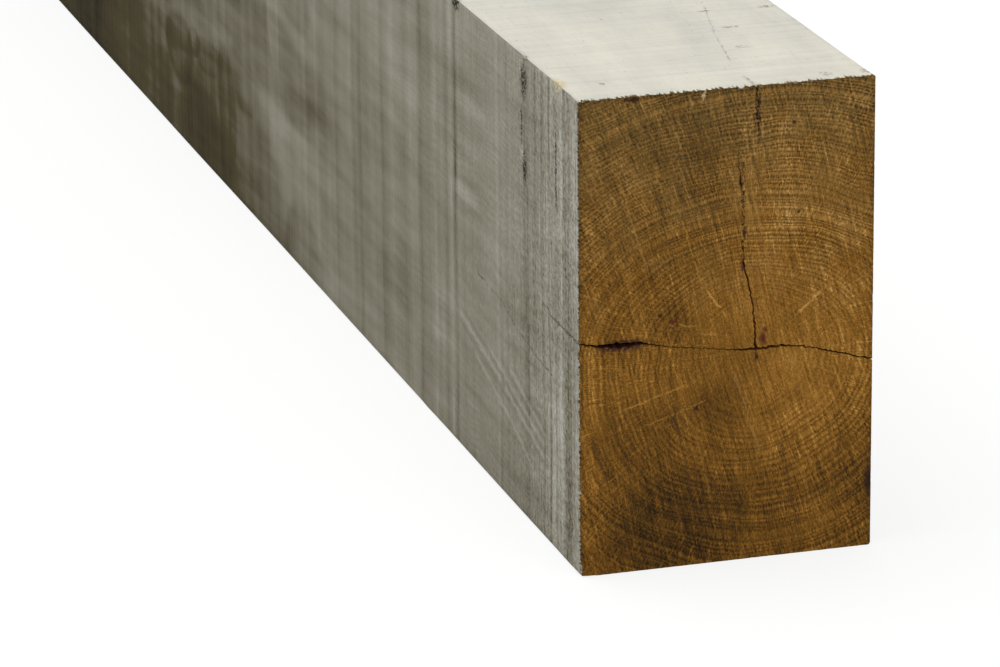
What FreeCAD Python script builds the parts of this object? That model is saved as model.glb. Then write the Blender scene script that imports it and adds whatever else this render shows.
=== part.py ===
"""A sawn oak beam with its heart boxed in, laid on its narrow face. All sizes are in millimetres.

The frame: +X runs along the beam, +Y across its width and +Z up through its depth. The origin is the centre of the
bottom face. The beam is one piece of timber, so it is one solid. Its show end, at +X, has been cut square across and
has dried since, and three checks have opened in it. A check is a split that is widest at the end face and closes to
a hairline further in. The cross check runs from side to side through the pith, with a wider tear near the -Y side.
The climbing check goes up from the pith, and the top check comes down from the top face to meet its line.
"""

import FreeCAD, Part
import math
import os
import Sketcher

OVERSHOOT = 2.0  # how far a cut starts outside the face that it opens through

# Each driving dimension: its name in the sheet, its size and what it measures.
DIMENSIONS = [
    ("beam_length", 2400, "from end to end"),
    ("beam_width", 125, "across, the size of the face that it lies on"),
    ("beam_depth", 200, "from the bottom face to the top face"),
    ("arris_wear", 1.0, "how far the long edges are worn back"),
    ("pith_across", 12.5, "from the middle of the width to the pith, towards +Y"),
    ("pith_height", 89.5, "from the bottom face to the pith"),
    ("check_root", 0.1, "the hairline that every check closes to"),
    ("cross_reach", 45, "how far in from the end the cross check closes"),
    ("cross_mouth", 0.9, "the opening of the cross check at the end face"),
    ("cross_rise", 10.5, "how far above the pith it meets the -Y side"),
    ("cross_level", 17, "how far past the pith it stays level"),
    ("cross_fall", 9.3, "how far below the pith it meets the +Y side"),
    ("tear_inset", 18.3, "from the -Y side to the widest point of the tear"),
    ("tear_half", 9.5, "from that point to each end of the tear"),
    ("tear_rise", 7.6, "how far that point is above the pith"),
    ("tear_mouth", 3.0, "the opening of the tear at its widest"),
    ("climb_reach", 30, "how far in from the end the climbing check closes"),
    ("climb_mouth", 1.0, "its opening at the pith"),
    ("climb_height", 46, "how far above the pith it ends"),
    ("climb_lean", 5.9, "how far it has leant towards -Y by there"),
    ("top_reach", 17, "how far in from the end the top check closes"),
    ("top_mouth", 0.7, "its opening at the top face"),
    ("top_drop", 24, "how far below the top face it ends"),
]


def write_sheet(doc):
    """The spreadsheet of driving dimensions, each cell with an alias that expressions use."""
    sheet = doc.addObject("Spreadsheet::Sheet", "sizes")
    for row, (alias, size, meaning) in enumerate(DIMENSIONS, start=1):
        sheet.set(f"A{row}", alias)
        sheet.set(f"B{row}", str(size))
        sheet.set(f"C{row}", meaning)
        sheet.setAlias(f"B{row}", alias)
    doc.recompute()
    return sheet


def section_sketch(body, name, along, corners):
    """A closed outline across the beam, in the plane X = along. Its corners are pairs of expressions, for Y and Z."""
    sketch = body.newObject("Sketcher::SketchObject", name)
    plane = next(feature for feature in body.Origin.OriginFeatures if feature.Role == "YZ_Plane")
    sketch.AttachmentSupport = [(plane, "")]
    sketch.MapMode = "FlatFace"
    sketch.setExpression("AttachmentOffset.Base.z", along)

    # The corners start in a ring, and the expressions below then move each one to its place.
    turn = 2 * math.pi / len(corners)
    spots = [FreeCAD.Vector(math.cos(turn * place), math.sin(turn * place), 0) for place in range(len(corners))]
    for start, end in zip(spots, spots[1:] + spots[:1]):
        sketch.addGeometry(Part.LineSegment(start, end), False)
    for line, (across, up) in enumerate(corners):
        following = (line + 1) % len(corners)
        sketch.addConstraint(Sketcher.Constraint("Coincident", line, 2, following, 1))
        for direction, expression, size in (
            ("DistanceX", across, spots[line].x),
            ("DistanceY", up, spots[line].y),
        ):
            constraint = sketch.addConstraint(Sketcher.Constraint(direction, -1, 1, line, 1, size))
            sketch.setExpression(f"Constraints[{constraint}]", expression)
    return sketch


def strip(stations, opening_is):
    """The outline of a split. Each station on its path is (Y, Z, opening), and the opening is measured along one axis."""
    sides = []
    for sign in ("+", "-"):
        if opening_is == "up":
            sides.append([(y, f"{z} {sign} ({opening}) / 2") for y, z, opening in stations])
        else:
            sides.append([(f"{y} {sign} ({opening}) / 2", z) for y, z, opening in stations])
    return sides[0] + sides[1][::-1]


def cut_check(body, name, stations, reach, opening_is):
    """Cuts a check into the show end: a wedge from its outline at the end face to a hairline, `reach` further in."""
    hairline = [(y, z, "sizes.check_root") for y, z, _ in stations]
    end_face = "sizes.beam_length / 2"
    mouth = section_sketch(body, f"{name}_mouth", end_face, strip(stations, opening_is))
    root = section_sketch(body, f"{name}_root", f"{end_face} - {reach}", strip(hairline, opening_is))
    wedge = body.newObject("PartDesign::SubtractiveLoft", name)
    wedge.Profile = mouth
    wedge.Sections = [root]
    wedge.Ruled = True
    return wedge


def make_beam(doc):
    """The sawn section, padded to length, with its long arrises worn and its checks cut."""
    body = doc.addObject("PartDesign::Body", "oak_beam")
    body.Label = "oak_beam"

    half_width = "sizes.beam_width / 2"
    section = section_sketch(
        body,
        "section",
        "-sizes.beam_length / 2",
        [
            (f"-{half_width}", "0"),
            (half_width, "0"),
            (half_width, "sizes.beam_depth"),
            (f"-{half_width}", "sizes.beam_depth"),
        ],
    )
    stock = body.newObject("PartDesign::Pad", "stock")
    stock.Profile = section
    stock.setExpression("Length", "sizes.beam_length")
    doc.recompute()

    arrises = body.newObject("PartDesign::Chamfer", "arrises")
    long_edges = [
        f"Edge{number}"
        for number, edge in enumerate(stock.Shape.Edges, start=1)
        if abs(edge.tangentAt(edge.FirstParameter).x) > 0.99
    ]
    arrises.Base = (stock, long_edges)
    arrises.setExpression("Size", "sizes.arris_wear")
    doc.recompute()

    pith = ("sizes.pith_across", "sizes.pith_height")
    tear_across = f"-{half_width} + sizes.tear_inset"
    tear_up = f"{pith[1]} + sizes.tear_rise"
    cut_check(
        body,
        "cross_check",
        [
            (f"-{half_width} - {OVERSHOOT}", f"{pith[1]} + sizes.cross_rise", "sizes.cross_mouth"),
            (f"{tear_across} - sizes.tear_half", tear_up, "sizes.cross_mouth"),
            (tear_across, tear_up, "sizes.tear_mouth"),
            (f"{tear_across} + sizes.tear_half", tear_up, "sizes.cross_mouth"),
            (*pith, "sizes.cross_mouth"),
            (f"{pith[0]} + sizes.cross_level", pith[1], "sizes.cross_mouth"),
            (f"{half_width} + {OVERSHOOT}", f"{pith[1]} - sizes.cross_fall", "sizes.cross_mouth"),
        ],
        "sizes.cross_reach",
        opening_is="up",
    )
    cut_check(
        body,
        "climbing_check",
        [
            (*pith, "sizes.climb_mouth"),
            (f"{pith[0]} - sizes.climb_lean", f"{pith[1]} + sizes.climb_height", "sizes.check_root"),
        ],
        "sizes.climb_reach",
        opening_is="across",
    )
    cut_check(
        body,
        "top_check",
        [
            (pith[0], f"sizes.beam_depth + {OVERSHOOT}", "sizes.top_mouth"),
            (pith[0], "sizes.beam_depth - sizes.top_drop", "sizes.check_root"),
        ],
        "sizes.top_reach",
        opening_is="across",
    )
    return body


def stop_on_faults(doc, body):
    """Raises an error if an object of the document failed, or if the beam isn't one valid solid that each check cut."""
    for item in doc.Objects:
        if {"Invalid", "Error"} & set(item.State):
            raise RuntimeError(f"{item.Name} failed: {item.State}")
    if body.Shape.isNull() or not body.Shape.isValid() or len(body.Shape.Solids) != 1:
        raise RuntimeError("the beam isn't one valid solid")
    for name in ("arrises", "cross_check", "climbing_check", "top_check"):
        feature = doc.getObject(name)
        taken = feature.BaseFeature.Shape.Volume - feature.Shape.Volume
        print(f"{name} takes away {taken / 1000:.3f} cm3")
        if taken <= 0:
            raise RuntimeError(f"{name} cut nothing")


doc = FreeCAD.newDocument("oak_beam")
write_sheet(doc)
beam = make_beam(doc)
doc.recompute()
stop_on_faults(doc, beam)

os.makedirs("parts", exist_ok=True)
beam.Shape.exportStep(f"parts/{beam.Label}.step")
print(f"{beam.Label}: {beam.Shape.Volume / 1e9:.5f} m3, box {beam.Shape.BoundBox}")
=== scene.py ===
# %% [markdown]
# # A sawn oak beam
#
# The real thing is one length of oak, cut with its heart in the middle. A band saw cut its four long
# faces, which have since weathered to grey, and a chain saw cut the end later, so the end is still brown.
# The end has dried and split. Everything here follows from that: one closed mesh, with the end drawn
# finely and the far length plainly, and one figure of rings and rays that runs through the whole beam, so
# that the faces agree where they meet.
#
# Blender works in metres. Sizes below are in millimetres, because that is how timber is measured, and
# `MM` turns them into metres in one place.

# %% Set-up and the fixed frame
import math
import random

import bmesh
import bpy
import numpy as np
from mathutils import Matrix, Vector, noise
from mathutils.geometry import delaunay_2d_cdt


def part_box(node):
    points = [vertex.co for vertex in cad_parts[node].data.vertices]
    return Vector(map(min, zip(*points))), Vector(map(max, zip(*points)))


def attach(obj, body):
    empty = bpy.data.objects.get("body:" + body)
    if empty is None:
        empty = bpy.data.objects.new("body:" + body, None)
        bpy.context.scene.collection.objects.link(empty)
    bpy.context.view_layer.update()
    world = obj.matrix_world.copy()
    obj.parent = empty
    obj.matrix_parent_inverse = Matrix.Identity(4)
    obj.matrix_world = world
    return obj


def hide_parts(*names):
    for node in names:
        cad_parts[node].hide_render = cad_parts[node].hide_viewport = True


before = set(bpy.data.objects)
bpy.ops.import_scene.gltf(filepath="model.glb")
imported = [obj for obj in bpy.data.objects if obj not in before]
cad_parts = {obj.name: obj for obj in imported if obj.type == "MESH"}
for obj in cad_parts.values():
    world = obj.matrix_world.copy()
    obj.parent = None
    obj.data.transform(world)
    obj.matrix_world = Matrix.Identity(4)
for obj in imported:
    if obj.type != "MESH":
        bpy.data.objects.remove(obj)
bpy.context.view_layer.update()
low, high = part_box("oak_beam")

MM = 0.001
LENGTH = (high.x - low.x) / MM
HALF_WIDTH = (high.y - low.y) / 2 / MM
DEPTH = (high.z - low.z) / MM
END = high.x / MM
random.seed(12)
print(f"the beam is {LENGTH:.0f} x {2 * HALF_WIDTH:.0f} x {DEPTH:.0f} mm")

# %% [markdown]
# ## The camera
#
# A long lens far away keeps the beam's edges nearly parallel. The camera is placed by what it looks at: a
# point in the plane of the end, a distance, and the two angles that its operator would read off the
# tripod. Setting the rotation from three vectors is surer than turning the camera by eye, because nothing
# can drift.

# %% Camera
AIM = Vector((END, -95.4, 107.3)) * MM
DISTANCE = 2.1906
AZIMUTH, ELEVATION, ROLL = math.radians(73.4), math.radians(17.954), math.radians(-0.556)
LENS = 198.5


def camera_axes(azimuth, elevation, roll):
    """The camera's right, up and back vectors, which are the columns of its rotation."""
    back = Vector((
        math.sin(azimuth) * math.cos(elevation),
        -math.cos(azimuth) * math.cos(elevation),
        math.sin(elevation),
    ))
    level = Vector((math.cos(azimuth), math.sin(azimuth), 0))
    upright = back.cross(level)
    right = math.cos(roll) * level + math.sin(roll) * upright
    return right, back.cross(right), back


right, up, back = camera_axes(AZIMUTH, ELEVATION, ROLL)
camera = bpy.data.objects.new("camera", bpy.data.cameras.new("camera"))
camera.data.lens = LENS
camera.data.sensor_width = 36
camera.data.clip_end = 100
turned = Matrix((right, up, back)).transposed().to_4x4()
camera.matrix_world = Matrix.Translation(AIM + DISTANCE * back) @ turned
bpy.context.scene.collection.objects.link(camera)
bpy.context.scene.camera = camera
print(f"the camera stands {DISTANCE:.2f} m from the end, with a {LENS:.0f} mm lens")

# %% [markdown]
# ## The drying splits
#
# Oak shrinks more round its rings than across them, so a drying end tears open along its rays, from the
# pith outwards. A boolean cut with thin wedges would do it, but it leaves slivers in a dense mesh. Here
# each split is a path that the end's mesh is built along, and the points near the path are pushed into
# the wood. Each point of a path is its place across and up the end, and how far the split gapes there.
# The path is then made ragged, because a tear follows the fibres.

# %% Paths of the splits
PITH = (12.3, 89.5)
CROSS_SPLIT = [
    (-HALF_WIDTH, 99.4, 0.7), (-56.5, 97.9, 0.8), (-52, 97.6, 1.3), (-44.8, 97.0, 2.2),
    (-38.5, 97.2, 1.2), (-33, 96.4, 0.5), (-24.9, 94.6, 0.3), (-10.5, 92.3, 0.28), (0.7, 90.6, 0.35),
    (*PITH, 1.0), (23.2, 90.0, 0.85), (29.5, 89.4, 0.5), (39.2, 87.2, 0.55), (48.7, 84.2, 0.6),
    (HALF_WIDTH, 80.2, 0.6),
]
CLIMBING_SPLIT = [
    (*PITH, 1.0), (11.9, 100.4, 0.7), (10.7, 108.4, 0.55), (9.1, 118.1, 0.6), (7.1, 126.2, 0.6),
    (6.3, 135.9, 0.2),
]
UPPER_SPLIT = [(6.6, 153, 0.1), (5.8, 160.3, 0.35), (4.9, 167, 0.28), (4.5, 175, 0.1)]
TOP_SPLIT = [(11.9, DEPTH, 0.5), (12.8, 194, 0.25), (12.8, 183.2, 0.22), (13.4, 178, 0.1)]
SPLIT_DEPTH = 9.0  # how far in a split is modelled, in mm: deep enough that no light comes back out
RAGGED_EVERY = 1.1


def ragged(path, spread=0.34):
    """The path with a point every RAGGED_EVERY mm, each one off the straight line by up to `spread`."""
    points = []
    for start, end in zip(path, path[1:]):
        start, end = np.array(start, float), np.array(end, float)
        run = np.hypot(*(end - start)[:2])
        count = max(1, round(run / RAGGED_EVERY))
        aside = np.array([-(end - start)[1], (end - start)[0]]) / run
        for step in range(count):
            point = start + (end - start) * step / count
            if step or points:
                point[:2] += aside * random.uniform(-spread, spread)
                point[2] *= random.uniform(0.75, 1.25)
            points.append(point)
    return np.array(points + [np.array(path[-1], float)])


splits = [ragged(path) for path in (CROSS_SPLIT, CLIMBING_SPLIT, UPPER_SPLIT, TOP_SPLIT)]


def split_at(places):
    """For each place on the end: 0 outside the splits, rising to 1 on a split's middle line."""
    inside = np.zeros(len(places))
    for path in splits:
        for start, end in zip(path, path[1:]):
            run = end[:2] - start[:2]
            along = np.clip((places - start[:2]) @ run / (run @ run), 0, 1)
            apart = np.hypot(*(places - start[:2] - along[:, None] * run).T)
            half_gap = (start[2] + along * (end[2] - start[2])) / 2
            inside = np.maximum(inside, 1 - apart / half_gap)
    return inside


print(f"{len(splits)} splits, {sum(len(path) for path in splits)} points")

# %% [markdown]
# ## The outline of the section
#
# The long faces are made as rings of points, one behind the other, like the hoops of a barrel. The first
# rings are dense and the far ones sparse, because only the near half metre is ever seen closely. Each
# ring is the same list of points, or every second or fourth of it, so the number on each face and corner
# is a multiple of four.

# %% Outline
UNDER, RIGHT, TOP, LEFT = range(4)
ARRIS = 0.9  # the long edges are worn to about this radius
CORNER_STEPS = 4


def outline():
    """Points round the section, anticlockwise as seen from the show end.

    Each is its place across and up, its normal across and up, and the face it belongs to.
    """
    reach, rise = HALF_WIDTH - ARRIS, DEPTH - ARRIS
    faces = [
        (UNDER, (-reach, 0), (reach, 0), (0, -1), 100),
        (RIGHT, (HALF_WIDTH, ARRIS), (HALF_WIDTH, rise), (1, 0), 160),
        (TOP, (reach, DEPTH), (-reach, DEPTH), (0, 1), 112),
        (LEFT, (-HALF_WIDTH, rise), (-HALF_WIDTH, ARRIS), (-1, 0), 200),
    ]
    points = []
    for face, start, end, (across, up_), count in faces:
        for step in range(count):
            share = step / count
            place = [a + share * (b - a) for a, b in zip(start, end)]
            points.append((*place, across, up_, face))
        turned = math.atan2(up_, across)
        centre = (end[0] - ARRIS * across, end[1] - ARRIS * up_)
        for step in range(CORNER_STEPS):
            angle = turned + math.pi / 2 * step / CORNER_STEPS
            side = face if step < CORNER_STEPS / 2 else (face + 1) % 4
            out = (math.cos(angle), math.sin(angle))
            points.append((centre[0] + ARRIS * out[0], centre[1] + ARRIS * out[1], *out, side))
    return np.array(points)


ring = outline()


def seat_split(across, up_, gap):
    """Moves the outline's nearest point to where a split comes out, and the two beside it to its lips."""
    nearest = int(np.argmin(np.hypot(ring[:, 0] - across, ring[:, 1] - up_)))
    along = np.array([-ring[nearest, 3], ring[nearest, 2]])
    for offset in (-1, 0, 1):
        ring[nearest + offset, :2] = np.array([across, up_]) + offset * gap / 2 * along
    return nearest


mouths = {
    "left": seat_split(*CROSS_SPLIT[0]),
    "right": seat_split(*CROSS_SPLIT[-1]),
    "top": seat_split(*TOP_SPLIT[0]),
}
print(f"{len(ring)} points round the section")

# %% [markdown]
# ## What the saw and the weather did to the long faces
#
# A band saw leaves ridges straight across its cut, one for each place where the blade wandered. Most are
# too fine to need geometry, and the material draws those. The strongest ones are listed here with their
# distance from the end, their width and their tone, because they have to be in the same place in the mesh
# and in the colour. The mesh carries the tone to the material as a vertex attribute, which is simpler
# than repeating the list in nodes.

# %% Saw ridges and wear
SAW_RIDGES = [  # distance from the show end, width, tone from -1 (dark) to 1 (light)
    (4, 4.5, 0.45), (14, 8, -0.52), (23.5, 3, 1.05), (27.6, 3.2, 0.75), (30.6, 1.6, 0.4),
    (34, 1.8, 0.7), (36.5, 2.2, 0.45), (39.8, 1.6, -0.85), (43, 1.6, 0.55), (48.6, 1.8, -0.4),
    (53, 2.4, 0.3), (58.6, 1.6, -0.4), (64, 2.5, 0.15), (70.6, 1.7, -0.8), (75, 1.4, -0.35),
    (80, 3, 0.2), (91, 2, -0.2), (99, 2, -0.25), (108.6, 1.8, -0.6), (113, 3, 0.25), (125, 3, -0.15),
    (134, 3, 0.1), (150, 3, -0.2), (158, 4, 0.15), (175.5, 3.2, -0.85), (182, 3.6, 0.6), (190, 3, -0.3),
    (198, 3, 0.2), (207, 5, 0.35), (216, 3, -0.2), (231, 5, -0.5), (246, 5, 0.2), (262, 6, 0.15),
    (290, 5, -0.2), (329, 4, -0.45), (352, 8, 0.25), (372, 6, -0.2), (392, 6, 0.15), (398, 8, -0.2),
    (430, 10, 0.2), (455, 6, -0.2), (492, 10, 0.25), (524, 8, -0.2), (571, 9, -0.3), (588, 8, 0.15),
]
RIDGE_HEIGHT = 0.16
LAST_SHARP_RIDGE = 600
FAR_RIDGE_EVERY = 34


def far_ridges():
    """Ridges along the rest of the beam, as uneven as the near ones."""
    ridges = []
    place = LAST_SHARP_RIDGE
    while place < LENGTH:
        ridges.append((place, random.uniform(6, 16), random.uniform(-0.32, 0.32)))
        place += FAR_RIDGE_EVERY * random.uniform(0.4, 1.6)
    return ridges


ridges = np.array(SAW_RIDGES + far_ridges())


def ridge_tone(distance, face):
    """The sum of the ridges' tones at a distance from the show end. Each face has its own strengths."""
    share = np.clip(1 - np.abs(distance - ridges[:, 0]) / ridges[:, 1], 0, 1)
    strengths = 1.0 if face == LEFT else np.cos(ridges[:, 0] * (face + 2))
    return float((share * ridges[:, 2] * strengths).sum())


def bumps(x, y, z):
    """Smooth noise from -1 to 1."""
    return noise.noise(Vector((x, y, z)))


CHIPS = [  # distance from the show end, reach along the beam, depth: all on the upper -Y edge
    (29, 6, 1.5), (74.5, 4, 2.2), (170, 5, 1.0), (255, 6, 0.8),
]
CHIP_SPREAD = 4  # how far a chip reaches away from the edge
FOOT_WEAR, FOOT_ALONG, FOOT_UP = 0.5, 16, 8  # the knocked foot: its depth, and its reach along and up
ARRIS_WEAR, ARRIS_UNEVEN = 0.2, 0.3
SMALL_CHIP_ABOVE, SMALL_CHIP_DEPTH = 0.42, 5  # noise above the first makes a chip, this deep per 1 above


def knocks(across, up_, distance):
    """The chips in the upper -Y edge, and the foot of the -Y corner, which was dragged on the ground."""
    from_edge = math.hypot(across + HALF_WIDTH, DEPTH - up_)
    from_foot = math.hypot(across + HALF_WIDTH, up_)
    chipped = sum(depth * max(0, 1 - abs(distance - at) / reach) for at, reach, depth in CHIPS)
    dragged = FOOT_WEAR * max(0, 1 - distance / FOOT_ALONG) * max(0, 1 - from_foot / FOOT_UP)
    return chipped * max(0, 1 - from_edge / CHIP_SPREAD) + dragged


def arris_wear(distance, corner):
    """How far a long edge is worn back: a little everywhere, and a chip here and there."""
    worn = ARRIS_WEAR + ARRIS_UNEVEN * bumps(distance / 17, corner * 9.1, 2.5)
    chip = bumps(distance / 6, corner * 5.3, 8.1)
    return max(0, worn) + max(0, chip - SMALL_CHIP_ABOVE) * SMALL_CHIP_DEPTH


print(f"{len(ridges)} saw ridges, {len(SAW_RIDGES)} of them at known places")

# %% [markdown]
# ## Rings of points
#
# Each ring point starts on the true outline and is only ever pushed inwards, so the beam never grows past
# its size.

# %% Where the rings are
FINE_UNTIL, MIDDLE_UNTIL = 52, 270
FINE_STEP, MIDDLE_STEP, LONGEST_STEP = 1.15, 2.2, 20


def stations():
    """Distances of the rings from the show end: close together near it, and sparse far away."""
    places = [0.0, 0.5, 1.0]
    while places[-1] < LENGTH - 12:
        place = places[-1]
        if place < FINE_UNTIL:
            step = FINE_STEP
        elif place < MIDDLE_UNTIL:
            step = MIDDLE_STEP
        else:
            step = min(LONGEST_STEP, 4 + (place - MIDDLE_UNTIL) / 40)
        places.append(place + step)
    return np.array(places + [LENGTH])


rings_at = stations()
gaps = np.diff(rings_at)
print(f"the rings are {gaps.min():.1f} to {gaps.max():.1f} mm apart")

# %% Points of the rings
WARP = 0.3  # how far a long face strays inwards over its length
TORN_UNTIL = 2  # how far from the end the fibres of the rim are torn
CLEAN_SHARE = 0.12  # how torn the rim is where the chain saw went in, against 1 where it came out
SPLIT_REACHES = {"left": 50, "right": 40, "top": 17}  # how far along each face its split runs as a groove
GROOVE_DEPTH = 3.0


def is_corner(point):
    """True on the worn edges, where the normal points between two faces."""
    return abs(point[2]) < 0.999 and abs(point[3]) < 0.999


def ring_point(index, distance):
    """A point of the ring at this distance from the show end, its ridge tone and its share of a split."""
    across, up_, normal_across, normal_up, face = ring[index]
    face = int(face)
    along_edge = up_ if face in (LEFT, RIGHT) else across
    inwards = WARP * (1 + bumps(distance / 190, along_edge / 70, face * 3.7)) * min(1, distance / 30)
    tone = ridge_tone(distance + 1.5 * bumps(along_edge / 60, face, 1.5), face)
    tone *= 0.75 + 0.6 * bumps(distance / 9, along_edge / 26, face + 0.5)
    inwards += RIDGE_HEIGHT * (0.5 - 0.5 * max(-1.0, min(1.0, tone)))
    corner = int(normal_across > 0) + 2 * int(normal_up > 0)
    if is_corner(ring[index]):
        inwards += arris_wear(distance, corner)
    inwards += knocks(across, up_, distance)
    x = END - distance
    if distance < TORN_UNTIL:
        torn = 1 if face in (TOP, LEFT) else CLEAN_SHARE
        nick = max(0, bumps(across / 1.7, up_ / 1.7, 6.6) - 0.18) * 1.6 * torn
        fading = 1 - distance / TORN_UNTIL
        inwards += (random.uniform(0, 0.3) * torn + nick) * fading
        x -= (random.uniform(0, 0.35) * torn + nick * 0.6) * fading
    split = 0.0
    for side, reach in SPLIT_REACHES.items():
        if index == mouths[side] and distance < reach:
            share = 1 - distance / reach
            split = share ** 0.5
            inwards += GROOVE_DEPTH * share
            x = min(x, END - 1.6 - 0.7 * distance)  # keeps the groove's start behind the end's own lips
    return (
        x * MM, (across - inwards * normal_across) * MM, (up_ - inwards * normal_up) * MM, tone, split,
    )


points, tones, in_split = [], [], []
long_places, end_places = [], []  # where each point lies on the long faces, and on an end, for the atlas
round_run = np.concatenate([[0], np.cumsum(np.hypot(*np.diff(ring[:, :2], axis=0).T))])
ring_starts, ring_steps = [], []
for distance in rings_at:
    step = 1 if distance < FINE_UNTIL else 2 if distance < MIDDLE_UNTIL else 4
    ring_starts.append(len(points))
    ring_steps.append(step)
    for index in range(0, len(ring), step):
        x, y, z, tone, split = ring_point(index, distance)
        points.append((x, y, z))
        tones.append(tone)
        in_split.append(split)
        long_places.append((distance, round_run[index]))
        end_places.append(tuple(ring[index, :2]))
print(f"{len(rings_at)} rings, {len(points)} points")

# %% [markdown]
# ## Skinning the rings
#
# Two rings with as many points are joined by quads. Where the next ring has half as many, each of its
# spans faces two spans of the dense ring, and three triangles close the gap.

# %% Long faces
faces, face_slots, face_kinds = [], [], []
END_SLOT, SIDE_SLOT, TOP_SLOT, UNDER_SLOT = range(4)
SLOT_OF_FACE = {UNDER: UNDER_SLOT, RIGHT: SIDE_SLOT, TOP: TOP_SLOT, LEFT: SIDE_SLOT}

for here in range(len(rings_at) - 1):
    start, following = ring_starts[here], ring_starts[here + 1]
    step, coarser = ring_steps[here], ring_steps[here + 1]
    count = len(ring) // step
    for place in range(0, count, coarser // step):
        kind = int(ring[place * step, 4])
        a, b = start + place, start + (place + 1) % count
        if coarser == step:
            c, d = following + place, following + (place + 1) % count
            faces.append((a, c, d, b))
            added = 1
        else:
            far = start + (place + 2) % count
            c, d = following + place // 2, following + (place // 2 + 1) % (count // 2)
            faces += [(a, c, b), (b, c, d), (b, d, far)]
            added = 3
        face_slots += [SLOT_OF_FACE[kind]] * added
        face_kinds += [kind] * added
print(f"{len(faces)} faces on the long sides")

# %% [markdown]
# ## The two ends
#
# The show end is a sheet of triangles between the first ring and the splits. A Delaunay triangulation
# makes even triangles out of any cloud of points and keeps the lines it is told to keep, here the lips
# and the floor of each split. It works in flat coordinates, so it runs on the true outline, and the
# points are pushed in afterwards.

# %% Points of the ends
GRAIN_POINT_EVERY = 1.65
FAR_END_POINT_EVERY = 9
LIP_LINES = (-1.15, -0.55, 0, 0.55, 1.15)  # places across a split, in half gaps
STRAY = 0.3  # how far a point may be off its place in the grid, as a share of the spacing


def cloud(spacing, edge):
    """Points over the section in a square grid, each a little off its place."""
    found = []
    for across in np.arange(-HALF_WIDTH + edge, HALF_WIDTH - edge, spacing):
        for up_ in np.arange(edge, DEPTH - edge, spacing):
            off = [random.uniform(-STRAY, STRAY) * spacing for _ in range(2)]
            found.append((across + off[0], up_ + off[1]))
    return np.array(found)


def near_split(places, clearance):
    """True for each place that is within `clearance` of a split's lip."""
    close = np.zeros(len(places), bool)
    for path in splits:
        for across, up_, gap in path:
            close |= np.hypot(places[:, 0] - across, places[:, 1] - up_) < gap / 2 * 1.15 + clearance
    return close


def lip_points():
    """Lines of points along each split, and the edges that join each line."""
    found, edges = [], []
    for path in splits:
        heading = np.gradient(path[:, :2], axis=0)
        aside = np.stack([-heading[:, 1], heading[:, 0]], axis=1) / np.hypot(*heading.T)[:, None]
        for share in LIP_LINES:
            line = path[:, :2] + aside * (path[:, 2:] / 2 * share)
            inside = (np.abs(line[:, 0]) < HALF_WIDTH - 0.6) & (line[:, 1] < DEPTH - 0.6)
            line = line[inside]
            edges += [(len(found) + k, len(found) + k + 1) for k in range(len(line) - 1)]
            found += list(line)
    return np.array(found), edges


scattered = cloud(GRAIN_POINT_EVERY, 1.5)
scattered = scattered[~near_split(scattered, 0.5)]
lips, lip_edges = lip_points()
lip_edges = [(a + len(scattered), b + len(scattered)) for a, b in lip_edges]
print(f"{len(scattered)} scattered points, and {len(lips)} along the splits")

# %% Faces of the ends
FRONT, BACK = 4, 5
END_WARP, SAW_SCORE = 0.15, 0.05  # how deep the end's slow waves and the saw's scores go, in mm


def fill_end(first, step, inner, inner_edges, front):
    """Triangulates an end inside the ring that starts at point `first`, and adds its points and faces."""
    rim = ring[::step, :2]
    count = len(rim)
    flat = [Vector(p) for p in rim] + [Vector(p) for p in inner]
    kept = [(k, (k + 1) % count) for k in range(count)]
    kept += [(a + count, b + count) for a, b in inner_edges]
    places, _, triangles, origins, _, _ = delaunay_2d_cdt(flat, kept, [], 1, 1e-5)
    number = []
    fresh = []
    for place, origin in zip(places, origins):
        on_rim = [k for k in origin if k < count]
        if on_rim:
            number.append(first + on_rim[0])
        else:
            number.append(len(points) + len(fresh))
            fresh.append(place)
    fresh = np.array(fresh)
    share = split_at(fresh) if front else np.zeros(len(fresh))
    for (across, up_), inside in zip(fresh, share):
        uneven = END_WARP * (1 + bumps(across / 40, up_ / 40, 3.3))
        uneven += SAW_SCORE * (1 + bumps(across / 1.8, up_ / 9, 5.5))
        uneven += SPLIT_DEPTH * inside ** 0.8
        x = END - uneven if front else END - LENGTH + uneven
        points.append((x * MM, across * MM, up_ * MM))
        tones.append(0.0)
        in_split.append(float(min(1, inside * 1.6)))
        long_places.append((0, 0))
        end_places.append((across, up_))
    for triangle in triangles:
        corners = [number[k] for k in triangle]
        flat_corners = [places[k] for k in triangle]
        turn = (flat_corners[1] - flat_corners[0]).cross(flat_corners[2] - flat_corners[0])
        if (turn > 0) != front:
            corners.reverse()
        faces.append(tuple(corners))
        face_slots.append(END_SLOT)
        face_kinds.append(FRONT if front else BACK)
    return len(triangles)


shown = fill_end(ring_starts[0], 1, np.concatenate([scattered, lips]), lip_edges, True)
hidden = fill_end(ring_starts[-1], 4, cloud(FAR_END_POINT_EVERY, 6), [], False)
print(f"{shown} triangles on the show end, {hidden} on the far end")

# %% [markdown]
# ## One closed mesh
#
# All the points and faces now become one mesh. Two attributes go with it, which are numbers that each
# point carries: how strong a saw ridge is there, and how deep in a split it lies. The materials read them
# later, and paint the splits darker with the second: painted shade in the cracks. The mesh is also
# counted, because an open edge would show that a ring or an end was not joined.

# %% The beam's mesh
mesh = bpy.data.meshes.new("sawn_beam")
mesh.from_pydata(points, [], faces)
mesh.polygons.foreach_set("material_index", face_slots)
mesh.polygons.foreach_set("use_smooth", [kind < FRONT for kind in face_kinds])
mesh.attributes.new("ridge_tone", "FLOAT", "POINT").data.foreach_set("value", tones)
mesh.attributes.new("split", "FLOAT", "POINT").data.foreach_set("value", in_split)
mesh.validate()
mesh.update()
beam = bpy.data.objects.new("sawn_beam", mesh)
bpy.context.scene.collection.objects.link(beam)


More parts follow.
